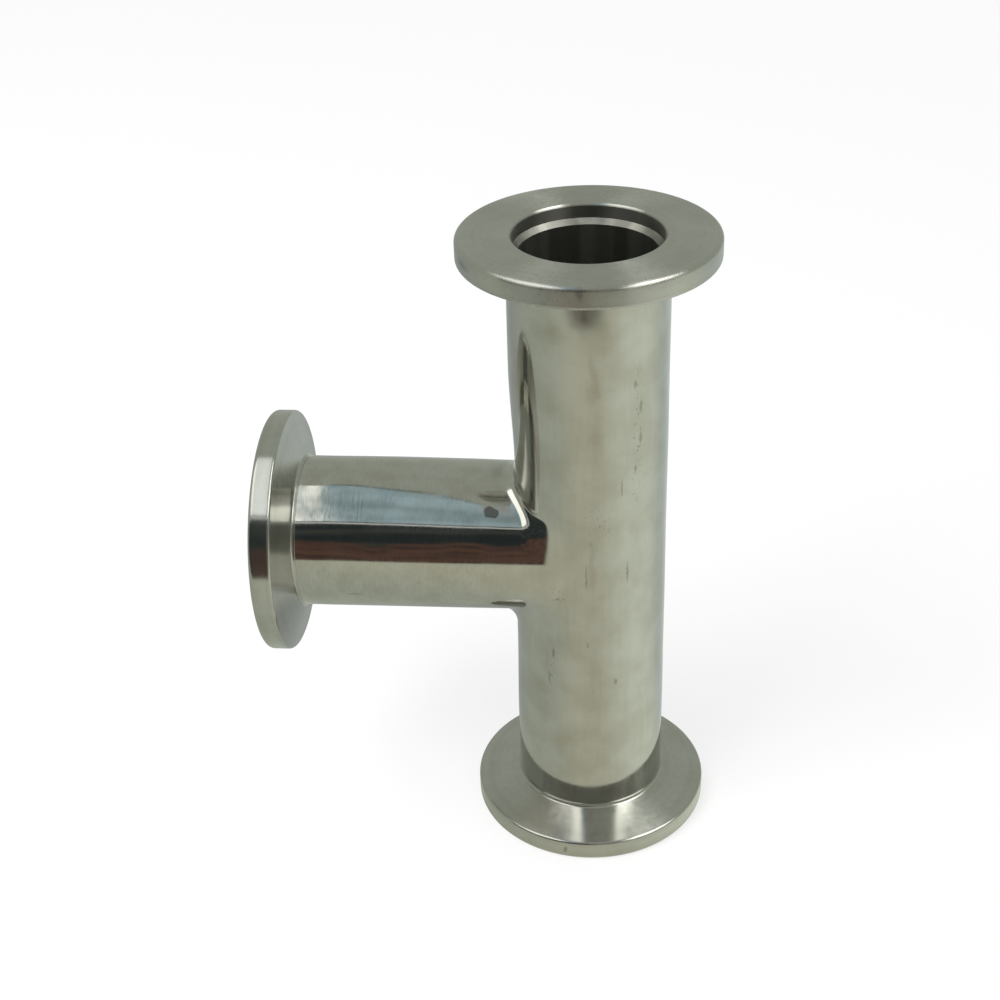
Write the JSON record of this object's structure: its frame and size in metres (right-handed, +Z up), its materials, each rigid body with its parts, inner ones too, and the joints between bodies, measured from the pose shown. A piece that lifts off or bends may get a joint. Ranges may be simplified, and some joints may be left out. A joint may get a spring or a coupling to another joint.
{
  "type": "vacuum flange tee",
  "caption": "Polished steel vacuum tee: a straight tube run with a side branch, and a round clamp flange with a stepped recess on each end.",
  "frame": {"origin": "centre of the lower seal face, where the run's axis meets it", "axes": "+Z up the run, -X out of the branch"},
  "size_m": [0.0545, 0.03, 0.08],
  "materials": {
    "polished_tube": "hand-polished stainless steel",
    "turned_flange": "fine-turned stainless steel, satin"
  },
  "bodies": {
    "root": {"tee_tube": "polished_tube", "lower_flange": "turned_flange", "upper_flange": "turned_flange", "branch_flange": "turned_flange"}
  },
  "joints": []
}
